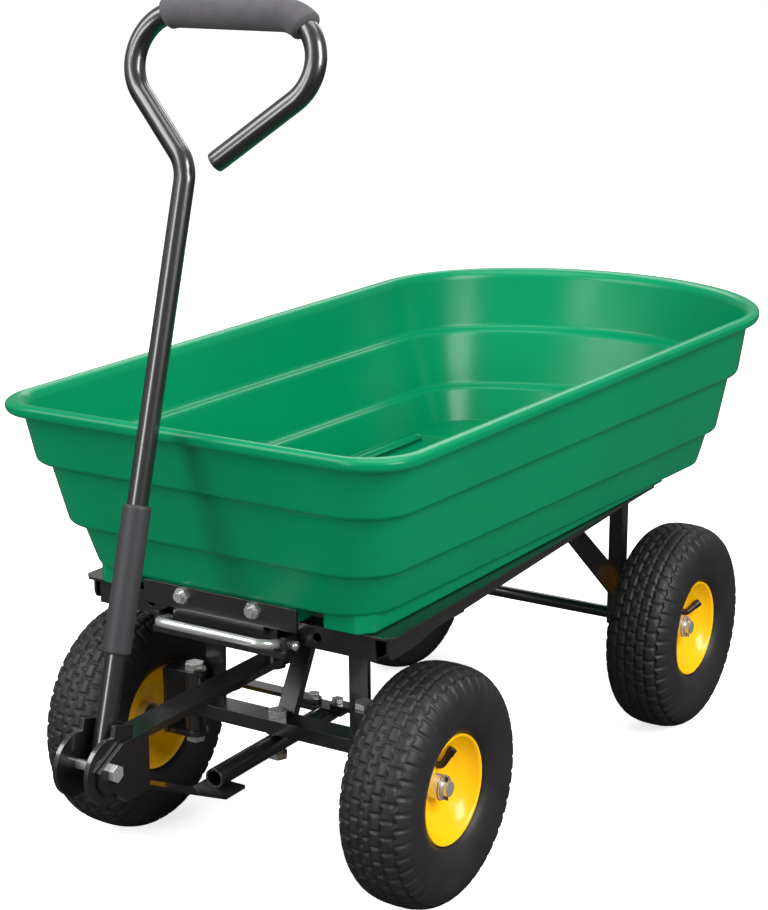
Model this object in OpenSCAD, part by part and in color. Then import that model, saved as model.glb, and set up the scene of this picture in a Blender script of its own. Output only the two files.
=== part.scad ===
/* [Wheels] */
// Outside radius of a tyre
tyre_r = 130; // [122:1:136]
// Width of a tyre at its widest
tyre_w = 84; // [76:1:88]
// Thickness of a tyre's wall
tyre_wall = 8; // [5:0.5:10]
// Radius of the rim's outer flange
rim_r = 60; // [54:1:64]
// Width of the rim across its flanges
rim_w = 62; // [56:1:66]
// Thickness of the rim's pressed sheet
rim_sheet = 2.5; // [2:0.25:3.5]
// Thickness of the rim's flat middle disc
rim_disc = 10; // [8:1:14]
// Radius of the rim's flat middle disc
rim_disc_r = 36; // [30:1:38]
// Outside radius of the hub tube
hub_r = 14; // [12:0.5:16]
// Length of the hub tube
hub_len = 34; // [30:1:74]
// Radius of the axles
axle_r = 8; // [6:0.25:9]
// Running clearance of a hub on its axle
hub_gap = 0.25; // [0.15:0.05:0.4]
// Distance between the front and rear axles
wheelbase = 594; // [580:1:610]
// Distance from the middle to a front wheel's centre
front_half_track = 192; // [188:1:200]
// Distance from the middle to a rear wheel's centre
rear_half_track = 202; // [198:1:208]
// Radius of a valve stem
valve_r = 4; // [3:0.25:5]
// Length of a valve stem
valve_len = 22; // [16:1:26]
// Distance of a valve stem's far side from the wheel's axis
valve_at_r = 26; // [24:1:32]
// Lean of a valve stem away from the rim's disc, in degrees
valve_lean = 25; // [20:1:40]

/* [Tub] */
// Half width of the tub's rim at the front
tub_front_half_w = 250; // [240:1:256]
// Half width of the tub's rim at the rear
tub_rear_half_w = 263; // [250:1:270]
// Distance of the rim's front edge ahead of the front axle
tub_front_reach = 172; // [150:1:180]
// Distance of the rim's rear edge behind the front axle
tub_rear_reach = 875; // [850:1:900]
// Length of the rounded rear end at the rim
tub_round_len = 225; // [170:1:250]
// Radius of the rim's front corners
tub_corner_r = 58; // [40:1:75]
// Loss of the front corners' radius for each millimetre that the wall leans in below the rim
corner_tuck = 0.05; // [0:0.05:0.4]
// Height of the rim's top above the ground
tub_top = 524; // [500:1:540]
// Height of the runners' underside above the ground
tub_seat = 317; // [315:1:324]
// Depth of the runners under the floor at the front
runner_h = 21; // [20:1:30]
// Width of a runner
runner_w = 52; // [44:1:56]
// Length of a runner
runner_len = 692; // [660:1:700]
// Thickness of the tub's wall and floor
tub_wall = 4; // [3:0.25:5]
// Height of the rolled rim
lip_h = 14; // [12:1:16]
// Overhang of the rolled rim beyond the wall
lip_w = 13; // [10:1:16]
// Depth of each of the two ledges
ledge_w = 10; // [7:1:12]
// Height of the top band of the wall at the front
band_one_h = 54; // [46:1:58]
// Height of the middle band of the wall at the front
band_two_h = 68; // [62:1:72]
// How much lower the upper ledge lies at the rear end than at the front
ledge_one_drop = 15; // [8:1:18]
// How much lower the lower ledge lies at the rear end than at the front
ledge_two_drop = 22; // [16:1:24]
// How much lower the floor lies at the rear end than at the front
floor_drop = 18; // [14:1:20]
// Inward slope of the top band, in mm over its height
band_one_draft = 9; // [6:1:12]
// Inward slope of the middle band, in mm over its height
band_two_draft = 13; // [9:1:16]
// Inward slope of the lower band, in mm over its height
band_three_draft = 12; // [8:1:15]
// How much steeper the rear end slopes than the sides
rear_slope = 1.75; // [1:0.05:1.9]
// Roundness of the rear end, 2 is an ellipse
rear_power = 2; // [1.9:0.05:2.6]

/* [Chassis] */
// Thickness of the rails' steel
rail_t = 3; // [2:0.25:4]
// Outside half width over the rails at their front end
rail_front_x = 197; // [192:1:202]
// Outside half width over the rails at the end of their webs
rail_rear_x = 181; // [176:1:188]
// Distance of the rails' inner edge from the middle
rail_inner_x = 128; // [124:1:136]
// Outer edge of the rails behind their webs
rail_tail_x = 150; // [146:1:176]
// Distance of the rails' front end ahead of the front axle
rail_front_reach = 84; // [80:1:90]
// Distance of the rails' rear end behind the front axle
rail_rear_reach = 606; // [602:1:610]
// Distance of the rail webs' rear end behind the front axle
web_rear_reach = 570; // [440:1:580]
// Depth of the rail webs at the front end
web_front_h = 28; // [25:1:30]
// Depth of the rail webs along their length
web_h = 21; // [18:1:24]
// Height of the rail webs at their rear end
web_rear_h = 8; // [6:1:18]
// Inset of the rail webs from the rails' outer edge
web_in = 8; // [0:1:12]
// Size of the rails' rounded front corners
rail_corner = 9; // [6:1:12]
// Height of the cross beams
beam_h = 25; // [22:1:28]
// Depth of the cross beams, front to back
beam_w = 24; // [20:1:28]
// Wall of the cross beams
beam_wall = 2; // [1.5:0.25:3]
// Half length of the cross beams
beam_half = 176; // [172:1:178]
// Half the length of the rear beam
rear_beam_half = 146; // [140:1:178]
// Radius of the two holes in the front beam
beam_hole_r = 5; // [3:0.25:6]
// Distance of each front beam hole from the middle
beam_hole_x = 106; // [100:1:120]
// Distance of the front beam's centre ahead of the front axle
front_beam_reach = 68; // [64:1:70]
// Distance of the middle beam's centre behind the front axle
mid_beam_reach = 88; // [80:1:100]
// Height of the axle beam's underside above the axle
axle_beam_rise = 20; // [18:1:24]
// Height of the axle beam
axle_beam_h = 16; // [12:1:20]
// Depth of the axle beam, front to back
axle_beam_w = 30; // [26:1:34]
// Width of a front leg
leg_w = 24; // [18:1:26]
// Thickness of a front leg
leg_t = 6; // [4:0.5:8]
// Distance of a front leg's foot from the middle
leg_foot_x = 96; // [92:1:102]
// Distance of a front leg's top from the middle
leg_top_x = 94; // [86:1:100]
// Half width of the centre brace
brace_half = 11; // [8:0.5:14]
// Thickness of the centre brace
brace_t = 8; // [5:0.5:10]
// Side of the square rear posts
post_w = 18; // [16:1:22]
// Distance of a rear post's centre from the middle
post_x = 122; // [118:1:126]
// Thickness of a diagonal
diagonal_t = 5; // [4:0.5:6]
// Width of a diagonal
diagonal_w = 26; // [20:1:30]
// Distance of a diagonal's top ahead of the rear axle
diagonal_reach = 200; // [180:1:220]

/* [Steering] */
// Distance of a kingpin from the middle
kingpin_x = 112; // [110:1:116]
// Radius of the kingpins, the pivot bolt and the steering pin
pivot_r = 6; // [5:0.25:7]
// Clearance of a turning piece on its pin
pin_gap = 0.3; // [0.2:0.05:0.4]
// Clearance between faces that slide past each other
face_gap = 0.4; // [0.3:0.05:0.6]
// Radius of the kingpin barrels
barrel_r = 12; // [10:0.5:13]
// Length of the kingpin barrels
barrel_len = 64; // [58:1:68]
// Thickness of a knuckle's lugs and of the steering arms
lug_t = 6; // [5:0.5:7]
// Distance of a knuckle's back plate from its kingpin
plate_off = 27; // [26:0.5:28]
// Thickness of a knuckle's back plate
plate_t = 5; // [4:0.5:6]
// Half width of a knuckle's back plate
plate_half = 16; // [13:1:17]
// Distance of the tie rod bolts behind their pivots
arm_len = 95; // [88:1:102]
// Sideways offset of the tie rod bolts from their pivots
tie_x = 16; // [15:0.5:17]
// Radius of the tie rod bolts
tie_pin_r = 4; // [3:0.25:4.25]
// Width of a tie rod
tie_w = 22; // [18:1:24]
// Thickness of a tie rod
tie_t = 5; // [4:0.5:6]
// Outside radius of the lower tongue tube
tongue_r = 11; // [9:0.5:12]
// Wall of the lower tongue tube
tongue_wall = 2.5; // [2:0.25:3]
// Distance of the lower tongue tube's front end ahead of the pivot
tongue_front = 118; // [110:1:126]
// Thickness of the spacer between the axle beam and the tongue
spacer_t = 3; // [2:0.25:4]
// Height of the upper bar's underside above the axle
bar_rise = 101; // [96:1:104]
// Width of the upper bar
bar_w = 30; // [24:1:34]
// Thickness of the upper bar
bar_t = 8; // [6:0.5:10]
// Radius of the upper bar's eye
eye_r = 18; // [15:0.5:20]

/* [Handle] */
// Distance of the handle's pivot ahead of the front axle
handle_reach = 314; // [308:1:322]
// Height of the handle's pivot above the ground
handle_z = 221; // [218:1:226]
// Backward lean of the parked handle in degrees
handle_lean = 16; // [12:0.5:18]
// Distance of the shaft's axis behind the pivot
shaft_off = 13; // [12:0.5:15]
// Outside radius of the handle tube
handle_r = 10.5; // [9:0.25:11]
// Wall of the handle tube
handle_wall = 2; // [1.5:0.25:2.5]
// Distance from the pivot to the kink below the loop
kink_s = 588; // [560:1:620]
// Distance from the pivot to the grip's axis
grip_s = 734; // [715:1:745]
// Reach of the loop's axis to the left of the shaft
loop_left = 80; // [74:1:86]
// Reach of the loop's axis to the right of the shaft
loop_right = 131; // [124:1:138]
// Bend radius at the loop's left corner
loop_left_r = 48; // [42:1:54]
// Bend radius at the loop's right corner
loop_right_r = 45; // [40:1:50]
// Bend radius at the kink
kink_r = 40; // [30:1:50]
// Slope of the loop's open leg in degrees
open_leg_slope = 38; // [35:1:42]
// Length of the loop's open leg
open_leg_len = 102; // [90:1:108]
// Outside radius of the foam grip
grip_r = 16; // [14:0.5:18]
// Bend of the grip's ends round the loop's corners in degrees
grip_bend = 42; // [20:1:44]
// Outside radius of the sleeve on the shaft
sleeve_r = 14; // [12.5:0.25:15]
// Distance from the pivot to the sleeve's lower end
sleeve_s = 110; // [95:1:140]
// Length of the sleeve
sleeve_len = 146; // [120:1:170]
// Radius of the bracket's round ears
ear_r = 32; // [30:0.5:32.5]
// Distance of the clevis plates' front edge ahead of the handle bolt
clevis_nose = 20; // [16:1:26]
// Thickness of the bracket's ears and back plate
ear_t = 5; // [4:0.5:6]
// Half distance between the ears' inner faces
ear_half_gap = 16.5; // [15:0.25:17]
// Thickness of the clevis plates
clevis_t = 4; // [3:0.5:5]
// Gap between an ear and its clevis plate
clevis_gap = 1; // [0.6:0.1:1.4]
// Radius of the handle bolt
handle_bolt_r = 5; // [4:0.25:6]

/* [Latch] */
// Half width of the latch plate
latch_half = 97; // [90:1:100]
// Half width of the latch plate's tongue
strike_half = 56; // [50:1:60]
// Thickness of the latch plate
latch_t = 3; // [2:0.25:3.5]
// Distance of the latch plate's back face ahead of the front axle
latch_reach = 101; // [100:1:103]
// Half distance between the latch bolts
latch_bolt_x = 45; // [38:1:60]
// Radius of the latch bolts
latch_bolt_r = 5; // [4:0.25:6]
// Radius of the release handle's rod
rod_r = 5; // [4:0.25:5.25]
// Half width of the release handle, at the rod's axis
rod_half = 71; // [68:1:72]
// Distance of the release handle's bar ahead of its pivot
rod_reach = 31; // [28:1:36]
// Height of the release handle's bar above its pivot
rod_rise = 7; // [5:0.5:9]
// Gap between the catch and the latch plate's lip
catch_gap = 0.6; // [0.5:0.05:0.9]
// Thickness of the catch
catch_t = 5; // [4:0.5:6]

/* [Hinge] */
// Distance of the hinge pin behind the front axle
hinge_reach = 622; // [619:1:628]
// Distance of the hinge pin behind the rear beam
hinge_off = 16; // [14:0.5:20]
// Depth of the hinge pin's axis below the runners' underside
hinge_drop = 14; // [13:0.5:16]
// Radius of the hinge pin
hinge_r = 6; // [5:0.25:7]
// Distance of the hinge lugs from the middle
hinge_lug_x = 84; // [76:1:90]
// Thickness of the hinge lugs and brackets
hinge_t = 6; // [5:0.5:8]

/* [Hidden] */
$fn = 64;
SIDES = [-1, 1];

// Heights and places that follow from the driving sizes
axle_z = tyre_r;
front_reach = handle_reach + ear_r;
middle_y = (tub_rear_reach - front_reach) / 2;
seat_gap = 0.4;
rail_top = tub_seat - seat_gap;
beam_top = rail_top - rail_t;
beam_low = beam_top - beam_h;
rear_beam_reach = hinge_reach - hinge_off - beam_w / 2;
axle_beam_low = axle_z + axle_beam_rise;
axle_beam_top = axle_beam_low + axle_beam_h;
tongue_z = axle_beam_low - spacer_t - tongue_r;
tongue_top = tongue_z + tongue_r;
barrel_low = axle_z - 2;
barrel_top = barrel_low + barrel_len;
bar_low = axle_z + bar_rise;
bar_top = bar_low + bar_t;
hinge_z = tub_seat - hinge_drop;

// Tub levels, from the runners up
floor_low = tub_seat + runner_h;
floor_top = floor_low + tub_wall;
lip_low = tub_top - lip_h;
ledge_one_z = lip_low - band_one_h;
ledge_two_z = ledge_one_z - band_two_h;
ledge_rise = 2;
inset_one = lip_w + band_one_draft;
inset_two = inset_one + ledge_w + band_two_draft;
inset_three = inset_two + ledge_w + band_three_draft;
runner_inset = inset_three + 7;
runner_front = tub_front_reach - runner_inset;
round_start = tub_rear_reach - tub_round_len;

// Steps round a front corner and round half of the rear end
CORNER_STEPS = 8;
CORNER_LEAST = 8;
ROUND_STEPS = 14;

// Colours as the finished cart shows them
GREEN = [0.04, 0.50, 0.33];
BLACK = [0.09, 0.085, 0.09];
RUBBER = [0.16, 0.155, 0.16];
FOAM = [0.27, 0.26, 0.27];
YELLOW = [1.0, 0.69, 0.0];
ZINC = [0.72, 0.72, 0.70];

// The modules below measure Y from the front axle, and this moves them to the middle of the cart
module placed() {
    translate([0, -middle_y, 0]) children();
}

// A box given by its lowest and highest corners
module block(low, high) {
    translate(low) cube(high - low);
}

// A cylinder along X from x1 to x2
module x_rod(r, x1, x2) {
    translate([x1, 0, 0]) rotate([0, 90, 0]) cylinder(r = r, h = x2 - x1);
}

// A cylinder along Z from z1 to z2
module z_rod(r, z1, z2) {
    translate([0, 0, z1]) cylinder(r = r, h = z2 - z1);
}

// A hexagon head or nut along Z, r across its corners
module z_hex(r, z1, z2) {
    translate([0, 0, z1]) cylinder(r = r, h = z2 - z1, $fn = 6);
}

// A round bar bent about c in the X Y plane, from angle a1 to a2
module flat_bend(c, bend_r, r, a1, a2) {
    translate([c[0], c[1], 0]) rotate([0, 0, a1])
        rotate_extrude(angle = a2 - a1) translate([bend_r, 0]) circle(r = r);
}

// An outline in the Y Z plane, made solid from x1 to x2
module side_plate(points, x1, x2) {
    translate([x1, 0, 0]) rotate([90, 0, 90]) linear_extrude(x2 - x1) polygon(points);
}

// The left piece is the right one mirrored
module mirrored(side) {
    mirror([side < 0 ? 1 : 0, 0, 0]) children();
}

// Rails

module rail(side) {
    front = -rail_front_reach;
    low = rail_top - web_front_h;
    seam = beam_top + rail_t / 2;
    color(BLACK) mirrored(side) {
        translate([0, 0, beam_top]) linear_extrude(rail_t) polygon([
            [rail_inner_x, front], [rail_front_x - rail_corner, front], [rail_front_x, front + rail_corner],
            [rail_rear_x, web_rear_reach], [rail_tail_x, web_rear_reach + 2 * rail_corner],
            [rail_tail_x, rail_rear_reach], [rail_inner_x, rail_rear_reach]
        ]);
        intersection() {
            translate([-web_in, 0, low]) linear_extrude(seam - low) polygon([
                [rail_front_x - rail_t, front], [rail_front_x, front],
                [rail_rear_x, web_rear_reach], [rail_rear_x - rail_t, web_rear_reach]
            ]);
            side_plate([
                [front + rail_corner, seam], [front + rail_corner, low + rail_corner],
                [front + 1.3 * rail_corner, low + 0.3 * rail_corner],
                [front + 2 * rail_corner, low], [front + 2 * web_front_h, low],
                [front + 4 * web_front_h, rail_top - web_h],
                [web_rear_reach, rail_top - web_rear_h], [web_rear_reach, seam]
            ], 0, rail_front_x + 1);
        }
    }
}

module rail_left() { placed() rail(-1); }
module rail_right() { placed() rail(1); }

// Cross beams

module hollow_beam(centre_y, depth, half) {
    difference() {
        block([-half, centre_y - depth / 2, beam_low], [half, centre_y + depth / 2, beam_top]);
        block([-half - 1, centre_y - depth / 2 + beam_wall, beam_low + beam_wall],
              [half + 1, centre_y + depth / 2 - beam_wall, beam_top - beam_wall]);
    }
}

module front_beam() {
    hole_z = (beam_low + beam_top) / 2;
    placed() color(BLACK) difference() {
        hollow_beam(-front_beam_reach, beam_w, beam_half);
        for (side = SIDES)
            translate([side * beam_hole_x, -front_beam_reach - beam_w, hole_z])
                rotate([-90, 0, 0]) cylinder(r = beam_hole_r, h = 2 * beam_w);
    }
}

// The bolster carries the legs behind the front axle and the steering pin on it
bolster_front = -14;
bolster_rear = axle_beam_w / 2 + leg_t + 3;

module bolster() {
    placed() color(BLACK)
        hollow_beam((bolster_front + bolster_rear) / 2, bolster_rear - bolster_front, beam_half);
}

module mid_beam() {
    placed() color(BLACK) hollow_beam(mid_beam_reach, beam_w, beam_half);
}

lug_r = hinge_r + 4;

module hinge_lug(x1, x2) {
    difference() {
        union() {
            block([x1, hinge_reach - hinge_off - beam_wall, hinge_z - lug_r],
                  [x2, hinge_reach, hinge_z + lug_r]);
            translate([0, hinge_reach, hinge_z]) x_rod(lug_r, x1, x2);
        }
        translate([0, hinge_reach, hinge_z]) x_rod(hinge_r, x1 - 1, x2 + 1);
    }
}

module rear_beam() {
    placed() color(BLACK) {
        hollow_beam(rear_beam_reach, beam_w, rear_beam_half);
        for (side = SIDES) mirrored(side) hinge_lug(hinge_lug_x, hinge_lug_x + hinge_t);
    }
}

hinge_pin_half = hinge_lug_x + 2 * hinge_t + face_gap;

module hinge_pin() {
    head_t = 4;
    placed() color(ZINC) translate([0, hinge_reach, hinge_z]) {
        x_rod(hinge_r, -hinge_pin_half, hinge_pin_half);
        for (side = SIDES) mirrored(side)
            x_rod(hinge_r + 3, hinge_pin_half + face_gap, hinge_pin_half + face_gap + head_t);
        x_rod(hinge_r, -hinge_pin_half - face_gap, hinge_pin_half + face_gap);
    }
}

// Front legs, centre brace and axle beam

module leg(side) {
    front = axle_beam_w / 2;
    color(BLACK) mirrored(side) translate([0, front + leg_t, 0])
        rotate([90, 0, 0]) linear_extrude(leg_t) polygon([
        [leg_foot_x - leg_w / 2, axle_beam_low], [leg_foot_x + leg_w / 2, axle_beam_low],
        [leg_top_x + leg_w / 2, beam_low], [leg_top_x - leg_w / 2, beam_low]
    ]);
}

module leg_left() { placed() leg(-1); }
module leg_right() { placed() leg(1); }

module centre_brace() {
    front = axle_beam_w / 2;
    placed() color(BLACK) side_plate([
        [front, axle_beam_low], [front, axle_beam_top],
        [mid_beam_reach - brace_t / 2, beam_low], [mid_beam_reach + brace_t / 2, beam_low],
        [front + brace_t, axle_beam_top - brace_t], [front + brace_t, axle_beam_low]
    ], -brace_half, brace_half);
}

spacer_r = pivot_r + 7;

module axle_beam() {
    half = axle_beam_w / 2;
    placed() color(BLACK) difference() {
        union() {
            block([-kingpin_x, -half, axle_beam_low], [kingpin_x, half, axle_beam_top]);
            for (side = SIDES) translate([side * kingpin_x, 0, 0]) z_rod(barrel_r, barrel_low, barrel_top);
            z_rod(spacer_r, tongue_top + face_gap, axle_beam_low);
        }
        for (x = [-kingpin_x, 0, kingpin_x]) translate([x, 0, 0]) z_rod(pivot_r, 0, beam_top);
        for (side = SIDES) mirrored(side) difference() {
            block([kingpin_x, -half - 1, axle_beam_low - 1], [kingpin_x + half, half + 1, axle_beam_top + 1]);
            translate([kingpin_x, 0, 0]) z_rod(barrel_r, 0, beam_top);
        }
    }
}

head_r = pivot_r + 5;
head_t = 7;

module pivot_bolt() {
    nut_low = tongue_z - tongue_r - face_gap - head_t;
    placed() color(ZINC) {
        z_hex(head_r, axle_beam_top, axle_beam_top + head_t);
        z_rod(pivot_r, nut_low - 2, axle_beam_top);
        z_hex(head_r, nut_low, nut_low + head_t);
    }
}

stem_r = pivot_r + 8;

module steering_pin() {
    nut_low = bar_low - face_gap - head_t;
    placed() color(BLACK) {
        z_rod(stem_r, bar_top + face_gap, beam_low);
        z_rod(pivot_r, nut_low - 2, bar_top + face_gap);
        z_hex(head_r, nut_low, nut_low + head_t);
    }
}

lug_top = barrel_top + face_gap + lug_t;
lug_low = barrel_low - face_gap - lug_t;

module kingpins() {
    placed() color(ZINC) for (side = SIDES) translate([side * kingpin_x, 0, 0]) {
        z_hex(head_r, lug_top + face_gap, lug_top + face_gap + head_t);
        z_rod(pivot_r, lug_low - face_gap - head_t - 2, lug_top + face_gap);
        z_hex(head_r, lug_low - face_gap - head_t, lug_low - face_gap);
    }
}

// Rear posts, diagonals and axle

module post(side) {
    color(BLACK) mirrored(side) difference() {
        block([post_x - post_w / 2, wheelbase - post_w / 2, axle_z - axle_r - 4],
              [post_x + post_w / 2, wheelbase + post_w / 2, beam_low]);
        translate([0, wheelbase, axle_z]) x_rod(axle_r, 0, 2 * post_x);
    }
}

module post_left() { placed() post(-1); }
module post_right() { placed() post(1); }

module diagonal(side) {
    foot_z = axle_z + axle_r + 4;
    top_y = wheelbase - diagonal_reach;
    color(BLACK) mirrored(side) side_plate([
        [wheelbase - post_w / 2, foot_z], [wheelbase + post_w / 2, foot_z],
        [wheelbase + post_w / 2, foot_z + diagonal_w],
        [top_y + diagonal_w, beam_top], [top_y - diagonal_w / 2, beam_top]
    ], post_x + post_w / 2, post_x + post_w / 2 + diagonal_t);
}

module diagonal_left() { placed() diagonal(-1); }
module diagonal_right() { placed() diagonal(1); }

collar_r = axle_r + 4;
axle_tail = 9;
washer_t = 2.5;
washer_r = axle_r + 5;
cotter_r = 1.5;

// The end of an axle that carries a wheel: x1 is where it starts, wheel_x is the wheel's centre
module axle_end(x1, wheel_x) {
    x_rod(axle_r, x1, wheel_x + hub_len / 2 + axle_tail);
    x_rod(collar_r, x1, wheel_x - hub_len / 2 - face_gap);
}

// The washer outside a wheel and the split pin that keeps it on, with no hole for the axle
module axle_keeper(wheel_x) {
    washer_x = wheel_x + hub_len / 2 + face_gap;
    x_rod(washer_r, washer_x, washer_x + washer_t);
    translate([washer_x + washer_t + cotter_r + face_gap, 0, 0]) z_rod(cotter_r, -washer_r, washer_r);
}

module rear_axle() {
    inner_x = post_x + post_w / 2 + diagonal_t + face_gap;
    placed() color(BLACK) translate([0, wheelbase, axle_z]) {
        for (side = SIDES) mirrored(side) axle_end(inner_x, rear_half_track);
        x_rod(axle_r, -inner_x - 1, inner_x + 1);
    }
}

module axle_washers() {
    placed() color(ZINC) translate([0, wheelbase, axle_z]) difference() {
        for (side = SIDES) mirrored(side) axle_keeper(rear_half_track);
        x_rod(axle_r, -2 * rear_half_track, 2 * rear_half_track);
    }
}

// Tub: each ring is the plan of the tub drawn inwards by an inset, at one height

function front_corner(inset) = let (
    r = max(tub_corner_r - corner_tuck * inset, CORNER_LEAST),
    x = tub_front_half_w - inset - r,
    y = -tub_front_reach + inset + r
) [for (i = [0:CORNER_STEPS]) let (a = 90 * i / CORNER_STEPS) [x + r * sin(a), y - r * cos(a)]];

function round_end(inset) = let (
    half = tub_rear_half_w - inset,
    len = tub_rear_reach - rear_slope * inset - round_start
) [for (i = [0:ROUND_STEPS]) let (a = 90 * i / ROUND_STEPS)
    [half * pow(cos(a), 2 / rear_power), round_start + len * pow(sin(a), 2 / rear_power)]];

function half_plan(inset) = concat(front_corner(inset), round_end(inset));

// The share of a drop to the rear that is reached at a place along the tub
function along(y) = (y + tub_front_reach) / (tub_rear_reach + tub_front_reach);

function ring(inset, z, drop) = let (right = half_plan(inset), n = len(right)) concat(
    [for (p = right) [p[0], p[1], z - drop * along(p[1])]],
    [for (i = [n - 2:-1:0]) [-right[i][0], right[i][1], z - drop * along(right[i][1])]]
);

// Outer wall from the floor up, over the rolled rim, and down the inner wall.
// Each point has its inset, its height at the front and its drop to the rear.
function wall_section() = let (
    w = tub_wall, lift = tub_wall * 0.75, d1 = ledge_one_drop, d2 = ledge_two_drop
) [
    [inset_three, floor_low, floor_drop],
    [inset_two + ledge_w, ledge_two_z - ledge_rise, d2], [inset_two, ledge_two_z, d2],
    [inset_one + ledge_w, ledge_one_z - ledge_rise, d1], [inset_one, ledge_one_z, d1],
    [lip_w, lip_low, 0], [lip_h * 0.15, lip_low, 0],
    [0, lip_low + lip_h * 0.25, 0], [0, lip_low + lip_h * 0.7, 0],
    [lip_h * 0.25, tub_top - lip_h * 0.07, 0], [lip_h * 0.6, tub_top, 0], [lip_w, tub_top - lip_h * 0.15, 0],
    [lip_w + w, tub_top - lip_h * 0.6, 0],
    [inset_one + w, ledge_one_z + lift, d1], [inset_one + ledge_w + w, ledge_one_z - ledge_rise + lift, d1],
    [inset_two + w, ledge_two_z + lift, d2], [inset_two + ledge_w + w, ledge_two_z - ledge_rise + lift, d2],
    [inset_three + w, floor_top, floor_drop]
];

module tub_shell() {
    section = wall_section();
    rings = [for (s = section) ring(s[0], s[1], s[2])];
    n = len(rings[0]);
    last = len(rings) - 1;
    points = [for (r = rings) for (p = r) p];
    sides = [for (k = [0:last - 1]) for (i = [0:n - 1]) let (
        a = k * n + i, b = k * n + (i + 1) % n, c = a + n, d = b + n
    ) each [[a, c, b], [b, c, d]]];
    polyhedron(points, concat(sides, [[for (i = [0:n - 1]) i]], [[for (i = [n - 1:-1:0]) last * n + i]]));
}

runner_rear = runner_len - runner_front;

function runner_side_x(y) = tub_front_half_w - runner_inset
    + (tub_rear_half_w - tub_front_half_w) * (y + tub_front_reach) / (round_start + tub_front_reach);

// Plan of the right runner drawn inwards by a wall
function runner_plan(wall) = let (
    front = -runner_front + wall,
    rear = runner_rear - wall,
    bevel = 14
) [
    [runner_side_x(front) - runner_w + wall, front], [runner_side_x(front) - wall - bevel, front],
    [runner_side_x(front) - wall, front + bevel], [runner_side_x(rear) - wall, rear - bevel],
    [runner_side_x(rear) - wall - bevel, rear], [runner_side_x(rear) - runner_w + wall, rear]
];

boss_half = latch_half - 2;
boss_low = tub_seat + 2;

// Height of the floor's underside at a place along the tub
function floor_under(y) = floor_low - floor_drop * along(y);

// The space under the floor's underside, or under its top, for cutting the runners to it
module under_floor(rise) {
    ends = [-tub_front_reach, tub_rear_reach];
    side_plate([
        [ends[0], 0], [ends[1], 0],
        [ends[1], floor_low + rise - floor_drop], [ends[0], floor_low + rise]
    ], -tub_rear_half_w, tub_rear_half_w);
}

module tub() {
    boss_rear = -runner_front + runner_w;
    placed() color(GREEN) difference() {
        union() {
            tub_shell();
            intersection() {
                union() {
                    for (side = SIDES) mirrored(side) translate([0, 0, tub_seat])
                        linear_extrude(runner_h + tub_wall) polygon(runner_plan(0));
                    block([-boss_half, -latch_reach, boss_low], [boss_half, boss_rear, floor_top]);
                }
                under_floor(tub_wall / 2);
            }
        }
        for (side = SIDES) mirrored(side) translate([0, 0, tub_seat + tub_wall])
            linear_extrude(runner_h + tub_wall) polygon(runner_plan(tub_wall));
        intersection() {
            block([-boss_half + tub_wall, -latch_reach + tub_wall, boss_low - 1],
                  [boss_half - tub_wall, boss_rear - tub_wall, floor_top]);
            under_floor(-tub_wall / 8);
        }
        for (side = SIDES) translate([side * latch_bolt_x, -latch_reach - 1, latch_bolt_z])
            rotate([-90, 0, 0]) cylinder(r = latch_bolt_r, h = tub_wall + 2);
    }
}

// Latch plate on the tub, and its bolts

strike_low = tub_seat - 16;
strike_lip = 6;
latch_low = tub_seat - 6;
latch_top = floor_low - 2.2;
latch_bolt_z = tub_seat + 10;

module latch_plate() {
    front = -latch_reach - latch_t;
    placed() color(BLACK) difference() {
        union() {
            block([-latch_half, front, latch_low], [latch_half, -latch_reach, latch_top]);
            block([-strike_half, front, strike_low], [strike_half, -latch_reach, latch_low]);
            block([-strike_half, front, strike_low],
                  [strike_half, -latch_reach + strike_lip, strike_low + latch_t]);
        }
        for (side = SIDES) translate([side * latch_bolt_x, front - 1, latch_bolt_z])
            rotate([-90, 0, 0]) cylinder(r = latch_bolt_r, h = latch_t + 2);
    }
}

module latch_bolts() {
    nut_r = latch_bolt_r + 4;
    nut_t = 6;
    tail = 5;
    front = latch_reach + latch_t;
    placed() color(ZINC) for (side = SIDES)
        translate([side * latch_bolt_x, -latch_reach + tub_wall, latch_bolt_z]) rotate([90, 0, 0]) {
            z_rod(latch_bolt_r, -3, front - latch_reach + tub_wall + nut_t + tail);
            z_hex(nut_r, latch_t + tub_wall, latch_t + tub_wall + nut_t);
            z_rod(nut_r, -3, 0);
        }
}

// Release handle and its bracket

rod_y = -latch_reach + 10;
rod_z = strike_low - 9;
rod_end = rod_half + rod_r + 14;
bracket_ear_x = rod_half + rod_r + 2;
bracket_ear_t = 6;
bracket_low = rod_z - 11;
beam_front = -front_beam_reach - beam_w / 2;

module latch_bracket() {
    ear_front = rod_y - 13;
    ear_top = rod_z + 11;
    apron_top = rod_z - 4;
    placed() color(BLACK) {
        block([-bracket_ear_x - bracket_ear_t, beam_front - latch_t, bracket_low],
              [bracket_ear_x + bracket_ear_t, beam_front, rod_z + rod_r]);
        block([-bracket_ear_x - bracket_ear_t, ear_front - latch_t, bracket_low],
              [bracket_ear_x + bracket_ear_t, ear_front, apron_top]);
        for (side = SIDES) mirrored(side) difference() {
            block([bracket_ear_x, ear_front, bracket_low],
                  [bracket_ear_x + bracket_ear_t, beam_front - latch_t, ear_top]);
            translate([0, rod_y, rod_z]) x_rod(rod_r + pin_gap, 0, 2 * rod_end);
        }
    }
}

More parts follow.
